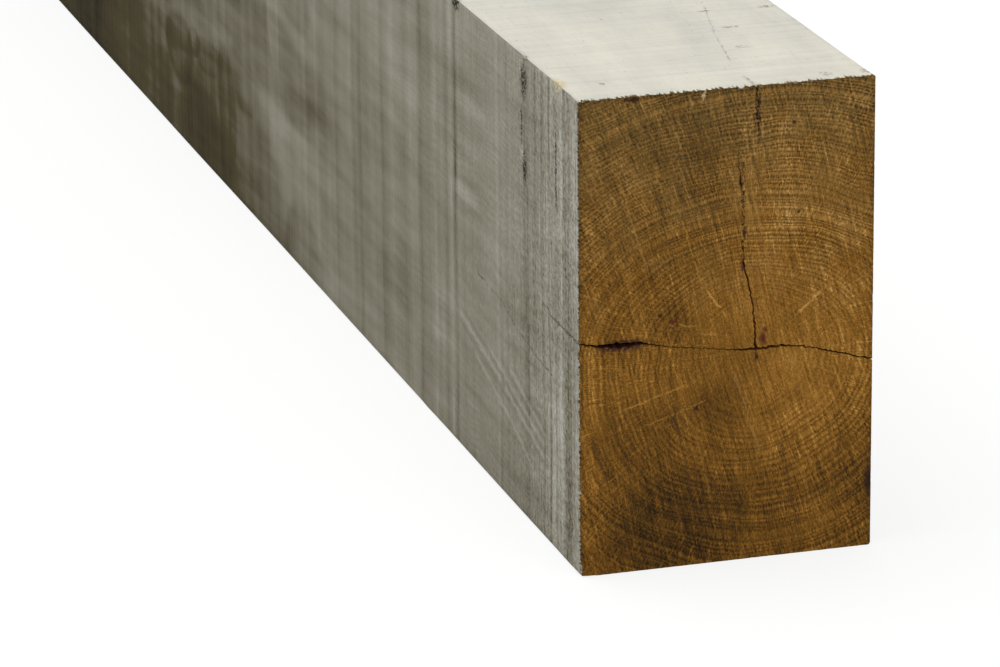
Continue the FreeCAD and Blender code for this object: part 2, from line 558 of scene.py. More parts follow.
def report_mesh(piece):
    """Prints the size of a piece's mesh and whether it is closed."""
    checked = bmesh.new()
    checked.from_mesh(piece.data)
    open_edges = sum(not edge.is_manifold for edge in checked.edges)
    triangles = sum(len(face.verts) - 2 for face in checked.faces)
    litres = checked.calc_volume() * 1e3
    print(f"{piece.name}: {triangles} triangles, {open_edges} open edges, {litres:.1f} litres")
    checked.free()


report_mesh(beam)

# %% [markdown]
# ## An atlas of the colours
#
# The atlas lays the beam's faces, and so its colours, onto one square picture. Spread evenly over a 2.4 m
# beam, the picture would give the end, which people look at first, hardly any room. So the faces are laid
# out one by one: the end gets the most, then the nearest 270 mm of the long faces, then the rest of the
# length in two strips per face. Each island is given by its corner and its scale, on a sheet 1024 units
# square.

# %% Atlas
SHEET = 1024
SEGMENT_ENDS = (270, 1335, LENGTH)
NEAR_SCALE, LONG_SCALE = 1.15, 0.62
ISLANDS = {  # (kind, segment): left, bottom, units per mm
    (FRONT, 0): (686, 3, 2.5), (LEFT, 0): (686, 506, NEAR_SCALE), (RIGHT, 0): (686, 746, NEAR_SCALE),
    (LEFT, 1): (3, 3, LONG_SCALE), (LEFT, 2): (3, 133, LONG_SCALE), (RIGHT, 1): (3, 263, LONG_SCALE),
    (RIGHT, 2): (3, 393, LONG_SCALE), (TOP, 1): (3, 523, LONG_SCALE), (TOP, 2): (3, 607, LONG_SCALE),
    (UNDER, 1): (3, 691, LONG_SCALE), (UNDER, 2): (3, 775, LONG_SCALE), (TOP, 0): (3, 862, 1.1),
    (UNDER, 0): (308, 862, 1.1), (BACK, 0): (614, 862, 0.5),
}
whole_round = round_run[-1] + math.dist(ring[-1, :2], ring[0, :2])
first_run = {kind: round_run[np.argmax(ring[:, 4] == kind)] for kind in (RIGHT, TOP, LEFT)}
first_run[UNDER] = round_run[-CORNER_STEPS // 2] - whole_round


def atlas_places(corners, kind):
    """The places on the sheet of one face's corners."""
    if kind >= FRONT:
        left, bottom, scale = ISLANDS[kind, 0]
        flat = [end_places[k] for k in corners]
        return [(left + (across + HALF_WIDTH) * scale, bottom + up_ * scale) for across, up_ in flat]
    behind = min(long_places[k][0] for k in corners)
    segment = next(number for number, end in enumerate(SEGMENT_ENDS) if behind < end)
    left, bottom, scale = ISLANDS[kind, segment]
    start = SEGMENT_ENDS[segment - 1] if segment else 0
    placed = []
    for k in corners:
        distance, run = long_places[k]
        if kind == UNDER and run > whole_round / 2:
            run -= whole_round
        if kind == LEFT and run < whole_round / 2:
            run += whole_round
        placed.append((left + (distance - start) * scale, bottom + (run - first_run[kind]) * scale))
    return placed


atlas = [place for corners, kind in zip(faces, face_kinds) for place in atlas_places(corners, kind)]
mesh.uv_layers.new(name="OFBake").data.foreach_set("uv", (np.array(atlas) / SHEET).ravel())
print(f"the atlas spans {np.min(atlas, axis=0).round()} to {np.max(atlas, axis=0).round()} of {SHEET}")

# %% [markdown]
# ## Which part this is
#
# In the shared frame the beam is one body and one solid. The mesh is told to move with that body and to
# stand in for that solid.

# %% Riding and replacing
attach(beam, "root")
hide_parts("oak_beam")

# %% [markdown]
# ## Working with shader nodes
#
# A material is a small graph of nodes. Blender's own calls to build one are wordy, so one function adds a
# node with its settings and its links. Colours are written as the hex codes that a colour picker shows,
# and turned into the linear light values that shaders work in.

# %% Node and colour helpers


def colour(hex_code):
    """An sRGB hex code as a linear colour with full alpha."""
    shares = [int(hex_code[k:k + 2], 16) / 255 for k in (1, 3, 5)]
    return (*(s / 12.92 if s <= 0.04045 else ((s + 0.055) / 1.055) ** 2.4 for s in shares), 1)


def add(tree, kind, inputs=None, **settings):
    """Adds a node. Each input is a plain value, or the node or socket to link it to."""
    node = tree.nodes.new("ShaderNode" + kind)
    for name, value in settings.items():
        setattr(node, name, value)
    for key, value in (inputs or {}).items():
        by_name = (socket for socket in node.inputs if socket.name == key and socket.enabled)
        target = node.inputs[key] if isinstance(key, int) else next(by_name)
        if isinstance(value, bpy.types.Node):
            value = next(socket for socket in value.outputs if socket.enabled)
        if isinstance(value, bpy.types.NodeSocket):
            tree.links.new(value, target)
        else:
            target.default_value = value
    return node


def set_ramp(ramp, stops):
    """Gives a colour ramp its stops, each a place from 0 to 1 and a hex code."""
    elements = ramp.color_ramp.elements
    while len(elements) < len(stops):
        elements.new(0.5)
    for element, (place, code) in zip(elements, stops):
        element.position = place
        element.color = colour(code)
    return ramp


def centred(tree, texture):
    """A noise's colour as a vector whose middle is zero."""
    return add(tree, "VectorMath", {0: texture.outputs["Color"], 1: (0.5, 0.5, 0.5)}, operation="SUBTRACT")


def even(tree, texture):
    """Noise from -1 to 1. Nearly all plain noise lies between 0.3 and 0.7, so that range is spread."""
    return add(tree, "MapRange", {"Value": texture, "From Min": 0.3, "From Max": 0.7, "To Min": -1.0})


def drawn_out(tree, place, size, **settings):
    """Noise that is drawn out to `size` mm along each axis."""
    per_mm = tuple(1 / length for length in size)
    longer = add(tree, "VectorMath", {0: place, 1: per_mm}, operation="MULTIPLY")
    return add(tree, "TexNoise", {"Vector": longer, "Scale": 1.0, **settings})


def from_mesh(tree, name):
    """A number that the mesh carries on each point."""
    return add(tree, "Attribute", attribute_name=name).outputs["Fac"]


print(f"the grey #808080 is {colour('#808080')[0]:.3f} in linear light")

# %% [markdown]
# ## The figure of the oak
#
# Wood is a solid pattern: rings round the pith, rays out from it, and vessels along it. Drawing that once
# in space, as a node group, makes each face show the right cut through it: rings and rays on the ends,
# and long grain with a few arches on the sides. A flat grain picture on each face would never meet at the
# edges. Two more things make it oak: rows of fine dots that follow the rings and the rays at once, and
# bands of years that came out darker or lighter.
#
# The rings are nearly round below the pith and wider than they are high above it. They are 2.3 mm apart
# below and 1.7 mm above. The vessels of oak are about 0.3 mm across, which is too fine to show, so they
# are drawn at 0.5 mm.

# %% The line of the pith
RING_WIDTH_BELOW, RING_WIDTH_ABOVE = 2.3, 1.65
RING_STRETCH_ABOVE = 1.35
PITH_DRIFT, PITH_DRIFT_LENGTH = 70.0, 700.0  # how far the pith strays from its line, and over what length
TAPER = 0.006  # how much the tree narrows per mm, which makes the arches on the sides
VESSEL_SIZE, VESSEL_LENGTH = 0.5, 9.0
RAY_EVERY = 0.016  # radians between fine rays
RAY_LENGTH, RAY_DEPTH = 14.0, 60.0  # outwards and along the beam
WAVER_EVERY, WAVER_REACH = 42, 9.0  # the size of the rings' wobbles, and how far they move a ring
FADE_EVERY = 16  # the size of the places where the rings fade
DOTS_PER_RADIAN = 72

figure = bpy.data.node_groups.new("oak_figure", "ShaderNodeTree")
for name in ("Porous", "Ray", "Vessel", "Dots", "Bands"):
    figure.interface.new_socket(name, in_out="OUTPUT", socket_type="NodeSocketFloat")

place = add(figure, "TexCoord")
in_mm = add(figure, "VectorMath", {0: place.outputs["Object"], "Scale": 1 / MM}, operation="SCALE")
apart = add(figure, "SeparateXYZ", {0: in_mm})
behind = add(figure, "Math", {0: END, 1: apart.outputs["X"]}, operation="SUBTRACT")

# The pith strays from its line, but not at the show end, where its place is known.
drift_place = add(figure, "Math", {0: behind, 1: PITH_DRIFT_LENGTH}, operation="DIVIDE")
drift = add(figure, "TexNoise", {"W": drift_place, "Scale": 1.0, "Detail": 1.0}, noise_dimensions="1D")
drift_middle = centred(figure, drift)
drift_share = add(figure, "MapRange", {"Value": behind, "From Max": 400.0, "To Max": PITH_DRIFT})
drifted = add(figure, "VectorMath", {0: drift_middle, "Scale": drift_share}, operation="SCALE")
print(f"{len(figure.nodes)} nodes draw the pith's line")

# %% Rings
# The rings waver, in the large and in the small.
waver = add(figure, "TexNoise", {
    "Vector": in_mm, "Scale": 1 / WAVER_EVERY, "Detail": 3.0, "Roughness": 0.42,
})
waver_middle = centred(figure, waver)
wavered = add(figure, "VectorMath", {0: waver_middle, "Scale": WAVER_REACH}, operation="SCALE")
strayed = add(figure, "VectorMath", {0: drifted, 1: wavered})
from_line = add(figure, "VectorMath", {0: in_mm, 1: (0, *PITH)}, operation="SUBTRACT")
from_pith = add(figure, "VectorMath", {0: from_line, 1: strayed}, operation="SUBTRACT")
flat = add(figure, "VectorMath", {0: from_pith, 1: (0, 1, 1)}, operation="MULTIPLY")
radius = add(figure, "VectorMath", {0: flat}, operation="LENGTH")
spread = add(figure, "SeparateXYZ", {0: flat})

# "above" is 0 below the pith and 1 above it, and rises smoothly with the direction.
slope = add(figure, "Math", {0: spread.outputs["Z"], 1: radius}, operation="DIVIDE")
above = add(figure, "MapRange", {
    "Value": slope, "From Min": -0.3, "From Max": 0.5,
}, interpolation_type="SMOOTHSTEP")
squeeze = add(figure, "MapRange", {"Value": above, "To Min": 1.0, "To Max": 1 / RING_STRETCH_ABOVE})
squeeze_vector = add(figure, "CombineXYZ", {"X": 0.0, "Y": squeeze, "Z": 1.0})
squeezed = add(figure, "VectorMath", {0: flat, 1: squeeze_vector}, operation="MULTIPLY")
ring_radius = add(figure, "VectorMath", {0: squeezed}, operation="LENGTH")
tapered = add(figure, "Math", {0: behind, 1: TAPER, 2: ring_radius}, operation="MULTIPLY_ADD")
per_mm = add(figure, "MapRange", {
    "Value": above, "To Min": 1 / RING_WIDTH_BELOW, "To Max": 1 / RING_WIDTH_ABOVE,
})
years = add(figure, "Math", {0: tapered, 1: per_mm}, operation="MULTIPLY")
good_years = add(figure, "TexNoise", {"W": years, "Scale": 0.4, "Detail": 1.0}, noise_dimensions="1D")
growth = add(figure, "Math", {0: good_years, 1: 1.6, 2: years}, operation="MULTIPLY_ADD")
turn = add(figure, "Math", {0: growth, 1: 2 * math.pi}, operation="MULTIPLY")
swing = add(figure, "Math", {0: turn}, operation="SINE")
rings_plain = add(figure, "MapRange", {
    "Value": swing, "From Min": -0.5, "From Max": 0.9, "To Min": -0.5, "To Max": 0.5,
})

# The rings are hard to see near the pith, and weaker below it than above.
off_pith = add(figure, "MapRange", {"Value": radius, "From Min": 12.0, "From Max": 44.0, "To Min": 0.1})
ring_strength = add(figure, "MapRange", {"Value": above, "To Min": 0.85, "To Max": 1.0})
rightwards = add(figure, "MapRange", {
    "Value": spread.outputs["Y"], "From Min": -34.0, "From Max": 12.0, "To Min": 0.8,
})
ring_sided = add(figure, "Math", {0: ring_strength, 1: rightwards}, operation="MULTIPLY")
fading = add(figure, "TexNoise", {"Vector": in_mm, "Scale": 1 / FADE_EVERY, "Detail": 2.0})
ring_kept = add(figure, "MapRange", {"Value": fading, "From Min": 0.36, "From Max": 0.62, "To Min": 0.32})
ring_patchy = add(figure, "Math", {0: ring_sided, 1: ring_kept}, operation="MULTIPLY")
ring_shown = add(figure, "Math", {0: off_pith, 1: ring_patchy}, operation="MULTIPLY")
porous = add(figure, "Math", {0: rings_plain, 1: ring_shown}, operation="MULTIPLY")
print(f"{len(figure.nodes)} nodes with the rings")

# %% Bands, dots and rays
# Bands: runs of a few years that came out darker or lighter than the rest.
band_noise = add(figure, "TexNoise", {
    "W": growth, "Scale": 0.42, "Detail": 2.0, "Roughness": 0.6,
}, noise_dimensions="1D")
band_tone = even(figure, band_noise)
bands_shown = add(figure, "Math", {0: band_tone, 1: off_pith}, operation="MULTIPLY")

# The angle round the pith. Its seam lies along the cross split, where it can't be seen.
SEAM_TURN = math.radians(8)
turned = add(figure, "VectorRotate", {"Vector": flat, "Angle": SEAM_TURN}, rotation_type="X_AXIS")
turned_apart = add(figure, "SeparateXYZ", {0: turned})
angle = add(figure, "Math", {
    0: turned_apart.outputs["Z"], 1: turned_apart.outputs["Y"],
}, operation="ARCTAN2")

# Dots: one row of cells to each year, so that they line up along the rings and the rays at once.
dot_across = add(figure, "Math", {0: angle, 1: DOTS_PER_RADIAN}, operation="MULTIPLY")
dot_place = add(figure, "CombineXYZ", {"X": dot_across, "Y": growth, "Z": 0.0})
dot_cells = add(figure, "TexVoronoi", {
    "Vector": dot_place, "Scale": 1.0, "Randomness": 0.55,
}, voronoi_dimensions="2D")
dot_tone = add(figure, "MapRange", {
    "Value": dot_cells, "From Min": 0.1, "From Max": 0.62, "To Min": -1.0,
})
dots = add(figure, "Math", {0: dot_tone, 1: ring_shown}, operation="MULTIPLY")

# Rays: noise that is fine round the pith and long outwards.
ray_across = add(figure, "Math", {0: angle, 1: RAY_EVERY}, operation="DIVIDE")
ray_along = add(figure, "Math", {0: radius, 1: RAY_LENGTH}, operation="DIVIDE")
ray_behind = add(figure, "Math", {0: behind, 1: RAY_DEPTH}, operation="DIVIDE")
ray_place = add(figure, "CombineXYZ", {"X": ray_across, "Y": ray_along, "Z": ray_behind})
ray_noise = add(figure, "TexNoise", {"Vector": ray_place, "Scale": 1.0, "Detail": 1.0})
ray_lines = add(figure, "MapRange", {"Value": ray_noise, "From Min": 0.57, "From Max": 0.72})
ray_start = add(figure, "MapRange", {"Value": radius, "From Min": 5.0, "From Max": 16.0})
ray = add(figure, "Math", {0: ray_lines, 1: ray_start}, operation="MULTIPLY")
print(f"{len(figure.nodes)} nodes with the bands, dots and rays")

# %% Vessels, and the outputs of the figure
# Vessels: cells that are long down the beam, so that they are dots on an end and dashes on a side.
vessel_size = (1 / VESSEL_LENGTH, 1 / VESSEL_SIZE, 1 / VESSEL_SIZE)
vessel_place = add(figure, "VectorMath", {0: in_mm, 1: vessel_size}, operation="MULTIPLY")
cells = add(figure, "TexVoronoi", {"Vector": vessel_place, "Scale": 0.62})
vessel = add(figure, "MapRange", {
    "Value": cells, "From Min": 0.2, "From Max": 0.55, "To Min": 1.0, "To Max": 0.0,
})

figure_out = figure.nodes.new("NodeGroupOutput")
outputs = (("Porous", porous), ("Ray", ray), ("Vessel", vessel), ("Dots", dots), ("Bands", bands_shown))
for name, node in outputs:
    figure.links.new(next(socket for socket in node.outputs if socket.enabled), figure_out.inputs[name])
print(f"the figure has {len(figure.nodes)} nodes")

# %% [markdown]
# ## Marks at known places
#
# Some marks are not a pattern. They are one stain, one hairline or one lighter patch, and a part that
# shows them in the right places looks like one beam and not like any beam. Small functions draw them in
# the solid: a soft ellipsoid, a thin line, a fringe of torn teeth, and one that breaks a mark up into
# specks. They read a place that noise has shaken, so that their edges are ragged.

# %% Patches and hairlines


def start_material(name, shake):
    """A new material, with its place in mm, a place shaken by up to `shake` mm, and the oak's figure."""
    material = bpy.data.materials.new(name)
    material.use_nodes = True
    tree = material.node_tree
    tree.nodes.clear()
    coordinates = add(tree, "TexCoord")
    spot = add(tree, "VectorMath", {0: coordinates.outputs["Object"], "Scale": 1 / MM}, operation="SCALE")
    fuzz = add(tree, "TexNoise", {"Vector": spot, "Scale": 0.35, "Detail": 4.0, "Roughness": 0.7})
    unrest = centred(tree, fuzz)
    shaken = add(tree, "VectorMath", {0: unrest, 1: (4 * shake,) * 3, 2: spot}, operation="MULTIPLY_ADD")
    grain = add(tree, "Group", node_tree=figure)
    return material, tree, spot, shaken, grain


def patch(tree, spot, centre, reach, softness=0.5):
    """1 inside an ellipsoid and 0 outside it, with a soft edge."""
    offset = add(tree, "VectorMath", {0: spot, 1: centre}, operation="SUBTRACT")
    scaled = add(tree, "VectorMath", {0: offset, 1: reach}, operation="DIVIDE")
    out = add(tree, "VectorMath", {0: scaled}, operation="LENGTH")
    edge = {"From Min": 1 + softness, "From Max": 1 - softness}
    return add(tree, "MapRange", {"Value": out, **edge}, interpolation_type="SMOOTHSTEP")


def hairline(tree, spot, start, end, width):
    """1 along the middle of a line from start to end, falling to 0 at half its width."""
    run = Vector(end) - Vector(start)
    heading = run.normalized()
    offset = add(tree, "VectorMath", {0: spot, 1: start}, operation="SUBTRACT")
    crossed = add(tree, "VectorMath", {0: offset, 1: heading}, operation="CROSS_PRODUCT")
    aside = add(tree, "VectorMath", {0: crossed}, operation="LENGTH")
    on_line = add(tree, "MapRange", {"Value": aside, "From Min": width / 2, "From Max": 0.0})
    along = add(tree, "VectorMath", {0: offset, 1: heading}, operation="DOT_PRODUCT")
    from_middle = add(tree, "Math", {0: along, 1: run.length / 2}, operation="SUBTRACT")
    distance = add(tree, "Math", {0: from_middle}, operation="ABSOLUTE")
    ends = add(tree, "MapRange", {
        "Value": distance, "From Min": run.length / 2, "From Max": run.length / 2 - 4,
    })
    return add(tree, "Math", {0: on_line, 1: ends}, operation="MULTIPLY")


def fringe(tree, spot, size, reach):
    """1 on ragged teeth that run back from the show end by up to `reach` mm."""
    teeth = drawn_out(tree, spot, size, Detail=3.0, Roughness=0.75)
    length = add(tree, "MapRange", {
        "Value": teeth, "From Min": 0.42, "From Max": 0.78, "To Min": 0.2, "To Max": reach,
    })
    apart = add(tree, "SeparateXYZ", {0: spot})
    reached = add(tree, "Math", {0: length, 1: apart.outputs["X"]}, operation="ADD")
    spare = add(tree, "Math", {0: reached, 1: END}, operation="SUBTRACT")
    return add(tree, "MapRange", {"Value": spare, "From Min": 0.0, "From Max": 0.7})


def broken(tree, spot, mask, size, cover=0.5):
    """The mask with holes in it, so that a stain breaks up into specks of about `size` mm."""
    specks = add(tree, "TexNoise", {"Vector": spot, "Scale": 1 / size, "Detail": 3.0, "Roughness": 0.7})
    middle = 0.5 + 0.25 * (0.5 - cover)
    kept = add(tree, "MapRange", {"Value": specks, "From Min": middle - 0.04, "From Max": middle + 0.04})
    return add(tree, "Math", {0: mask, 1: kept}, operation="MULTIPLY")


def weigh(tree, start, parts):
    """A running sum: the start, and each part times its weight."""
    total = start
    for part, weight in parts:
        total = add(tree, "Math", {0: part, 1: weight, 2: total}, operation="MULTIPLY_ADD")
    return total


def paint_over(tree, base, marks):
    """Lays one colour after another over the base, each where its mask is 1."""
    for mask, code in marks:
        base = add(tree, "Mix", {"Factor": mask, "A": base, "B": colour(code)}, data_type="RGBA")
    return base


def finish_material(tree, base, roughness, height, relief, gloss=0.2):
    """Puts the colour, roughness and relief, in mm, into one shader."""
    bump = add(tree, "Bump", {"Height": height, "Distance": relief * MM, "Strength": 1.0})
    shader = add(tree, "BsdfPrincipled", {
        "Base Color": base, "Roughness": roughness, "Normal": bump,
        "IOR": 1.5, "Specular IOR Level": gloss,
    })
    add(tree, "OutputMaterial", {"Surface": shader})


# %% [markdown]
# ## End grain, cut by a chain saw
#
# Freshly cut oak is brown, and a chain saw leaves it matt, with straight strokes where the teeth dragged.
# The eye gets three things from it: the strokes, all leaning the same way, the rings as rows of fine
# dots, and a slow change from golden near the heart to damp brown at the foot. One tone value gathers
# them all, and a colour ramp turns the tone into brown. That keeps every shade in the same family, which
# separate colours would not.

# %% Marks on the end
END_PATCHES = [  # centre (across, up), reach (across, up), tone
    ((34, 118), (32, 46), 0.08), ((44, 64), (28, 34), 0.07), ((22, 92), (20, 14), 0.03),
    ((-19, 18), (22, 18), -0.20), ((-36, 44), (20, 22), -0.10), ((-30, 128), (30, 26), -0.01),
    ((0, 192), (80, 16), -0.05), ((4, 26), (30, 22), -0.07), ((-52, 176), (22, 34), -0.02),
    ((0, -2), (90, 12), -0.05), ((14, 150), (14, 26), 0.05), ((-8, 172), (10, 24), -0.07),
    ((20, 14), (24, 14), 0.02), ((56, 34), (14, 24), -0.13), ((-60, 40), (8, 60), 0.03),
    ((-33, 158), (8, 10), 0.05), ((-6, 66), (9, 16), -0.07), ((-30, 82), (26, 8), 0.05),
    ((4, 104), (14, 12), 0.06), ((-26, 104), (8, 8), -0.08), ((-26, 168), (12, 18), -0.06),
    ((2, 58), (10, 18), -0.01), ((-50, 12), (16, 18), -0.10), ((22, 66), (12, 16), 0.03),
    ((26, 189), (22, 12), 0.05), ((-30, 66), (10, 14), -0.03),
]
# Four of the dark specks, at (5.6, 160), (7.2, 139), (13.2, 193) and (13.6, 186), lie on the splits' lines
# and darken them as painted shade in the cracks. The others are dark flecks in the wood.
DARK_SPECKS = [  # centre (across, up), reach (across, up)
    ((28.2, 183.4), (0.7, 0.6)), ((30.0, 146.0), (0.8, 0.6)), ((5.6, 160), (0.6, 2.4)),
    ((7.2, 139), (0.5, 2.5)), ((-39.5, 198.6), (3.2, 0.8)), ((61.2, 28), (1.6, 6)),
    ((13.2, 193), (0.5, 1.4)), ((13.6, 186), (0.5, 1.0)), ((-28.5, 108), (0.9, 0.7)),
    ((12.7, 86.3), (0.7, 2.0)), ((-13, 67), (0.7, 1.4)),
]
RED_SPECKS = [
    ((16.4, 97.4), (0.8, 0.9)), ((15.1, 93.8), (1.5, 2.4)), ((-22.5, 104.5), (1.6, 0.7)),
    ((6.8, 126), (0.8, 2.5)),
]
STREAKS = [  # start and end (across, up), width, colour
    ((-12.5, 170), (-9.6, 163.5), 1.0, "#3f2015"), ((-9.6, 133), (-7.4, 127.5), 1.0, "#4a2118"),
    ((-9.7, 118.5), (0.7, 103.7), 1.3, "#bb8d45"), ((28.7, 101.9), (42.4, 113.1), 1.3, "#bc8f4c"),
    ((2.3, 82.9), (15.1, 43.4), 1.3, "#8d6a3c"), ((-45.3, 69), (-8.8, 79.8), 1.1, "#a97a36"),
    ((-40, 60), (-6, 71), 0.9, "#9c7030"), ((-26, 104), (-12, 101.5), 1.1, "#a87c3c"),
    ((-14, 99), (-2, 97), 1.0, "#a1763a"), ((34, 95.5), (54, 98), 0.9, "#a67a3a"),
    ((-23.1, 72), (-15, 29.5), 1.5, "#46301a"), ((23.1, 51.2), (30.8, 10.6), 1.4, "#49331b"),
    ((-57.5, 60), (-48, 30), 1.2, "#43301a"), ((-62.4, 72.4), (-52, 74.5), 1.0, "#3a261a"),
    ((-24, 190), (-18, 172), 1.3, "#8c6a3a"), ((10, 158), (21.6, 108.4), 1.0, "#8f6a34"),
    ((-9.2, 202), (-10.6, 195.6), 1.7, "#ddc79a"), ((-20, 150), (-11, 118), 1.0, "#94702f"),
    ((-31, 172), (-22, 140), 1.1, "#8d6a33"), ((-4, 176), (2, 150), 1.0, "#8b6630"),
    ((-14, 60), (-6, 24), 1.1, "#7d5a2a"), ((40, 76), (48, 40), 1.1, "#9a6d2c"),
    ((-44, 160), (-33, 126), 1.0, "#8c6a36"), ((30, 80), (36, 52), 1.1, "#9b6f2c"),
]
print(f"{len(END_PATCHES)} patches, {len(DARK_SPECKS + RED_SPECKS)} specks and {len(STREAKS)} streaks")

# %% Strokes on the end
STROKE_LEAN = math.radians(16)  # from upright, with the top towards -Y

end_grain, tree, spot, shaken, grain = start_material("oak_end_grain_chain_sawn", shake=0.9)
fan = add(tree, "TexNoise", {"Vector": spot, "Scale": 1 / 90, "Detail": 0.0})
fan_middle = centred(tree, fan)
fanned = add(tree, "VectorMath", {0: fan_middle, 1: (0, 9, 0), 2: spot}, operation="MULTIPLY_ADD")
leaned = add(tree, "VectorRotate", {"Vector": fanned, "Angle": -STROKE_LEAN}, rotation_type="X_AXIS")


def along_strokes(width, length, detail):
    """Noise from -1 to 1 that is drawn out along the saw's strokes."""
    return even(tree, drawn_out(tree, leaned, (30, width, length), Detail=detail, Roughness=0.6))


strokes = along_strokes(1.5, 34.0, 3.0)
bands = along_strokes(5.0, 70.0, 2.0)
weave = along_strokes(0.7, 1.7, 2.0)
drags = along_strokes(1.1, 15.0, 1.0)
bright = add(tree, "MapRange", {"Value": drags, "From Min": 0.38, "From Max": 0.8})
dark = add(tree, "MapRange", {"Value": drags, "From Min": -0.38, "From Max": -0.85})
clouds = add(tree, "TexNoise", {"Vector": spot, "Scale": 1 / 13, "Detail": 4.0})
cloud_tone = even(tree, clouds)
speckle = add(tree, "TexNoise", {"Vector": spot, "Scale": 1.5, "Detail": 2.0, "Roughness": 0.6})
speckle_tone = even(tree, speckle)
apart = add(tree, "SeparateXYZ", {0: shaken})
off_middle = add(tree, "Math", {0: apart.outputs["Y"]}, operation="ABSOLUTE")
to_side = add(tree, "Math", {0: HALF_WIDTH, 1: off_middle}, operation="SUBTRACT")
to_top = add(tree, "Math", {0: DEPTH, 1: apart.outputs["Z"]}, operation="SUBTRACT")
to_rim = add(tree, "Math", {0: to_side, 1: to_top}, operation="MINIMUM")
rim = add(tree, "MapRange", {"Value": to_rim, "From Min": 2.6, "From Max": 0.2})
print(f"{len(tree.nodes)} nodes draw the strokes, the clouds and the rim")

# %% Colour and relief of the end
clouded = [
    (patch(tree, shaken, (END, *centre), (400, *reach), 0.7), weight)
    for centre, reach, weight in END_PATCHES
]
tone = weigh(tree, 0.49, [
    (strokes, 0.06), (bands, 0.045), (weave, 0.09), (bright, 0.11), (dark, -0.11), (cloud_tone, 0.05),
    (speckle_tone, 0.12), (grain.outputs["Porous"], -0.14), (grain.outputs["Dots"], 0.145),
    (grain.outputs["Ray"], 0.13), (grain.outputs["Bands"], 0.05), (rim, -0.12), *clouded,
])
dry_browns = add(tree, "ValToRGB", {"Fac": tone})
set_ramp(dry_browns, [
    (0.0, "#1e150a"), (0.25, "#43331a"), (0.5, "#6a5026"), (0.75, "#936f3a"), (1.0, "#c6a166"),
])
fresh_browns = add(tree, "ValToRGB", {"Fac": tone})
set_ramp(fresh_browns, [
    (0.0, "#1c1307"), (0.25, "#442e10"), (0.5, "#6d4a17"), (0.75, "#95682a"), (1.0, "#c29c54"),
])
dried = add(tree, "Math", {0: cloud_tone, 1: 26.0, 2: apart.outputs["Z"]}, operation="MULTIPLY_ADD")
dry_share = add(tree, "MapRange", {"Value": dried, "From Min": 105.0, "From Max": 195.0})
browns = add(tree, "Mix", {"Factor": dry_share, "A": fresh_browns, "B": dry_browns}, data_type="RGBA")
specks = [
    (patch(tree, shaken, (END, *centre), (9, *reach), softness), code)
    for marks, softness, code in ((RED_SPECKS, 0.9, "#4f2418"), (DARK_SPECKS, 0.8, "#2e1c14"))
    for centre, reach in marks
]
streaks = [
    (hairline(tree, shaken, (END, *start), (END, *end), width), code)
    for start, end, width, code in STREAKS
]
# Round the widest part of the cross split: partly a stain round the tear and partly painted shade that
# widens the tear's dark mouth.
tear = patch(tree, shaken, (END, -44.5, 96.8), (20, 10.5, 2.2), 0.4)
tear_stain_and_shade = broken(tree, spot, tear, 1.6, 0.85)
# Painted shade along the top split, and along the upper end of the climbing split and the split above it.
top_split_shade = broken(tree, spot, patch(tree, shaken, (END, 12.6, 188), (9, 1.2, 12), 0.5), 1.2, 0.5)
climbing_split_shade = broken(tree, spot, patch(tree, shaken, (END, 6.6, 148), (9, 0.9, 26), 0.5), 1.5, 0.4)
# Painted shade in the splits: the end is painted darker the deeper a point lies in a split.
painted_split_shade = from_mesh(tree, "split")
base = paint_over(tree, browns, [
    *specks, *streaks, (tear_stain_and_shade, "#3b2219"), (top_split_shade, "#2a1d18"), (climbing_split_shade, "#33200f"),
    (painted_split_shade, "#2a1716"),
])
height = weigh(tree, 0.0, [
    (strokes, 0.5), (weave, 0.5), (speckle_tone, 0.3), (grain.outputs["Dots"], 0.3),
])
finish_material(tree, base, 0.8, height, 0.2, 0.08)
print(f"{end_grain.name}: {len(tree.nodes)} nodes")

# %% [markdown]
# ## Sides, cut by a band saw and weathered
#
# Rain and sun wash the brown out of oak and leave it silver grey, darker where water stood. The band
# saw's ridges run straight up the face. The eye gets a cool, dry, fibrous surface: sharp light and dark
# lines across, faint long grain along, and large soft stains. The lines are noise that is drawn out 100
# times longer up the face than along it, on top of the strong ridges that the mesh carries as
# `ridge_tone`.

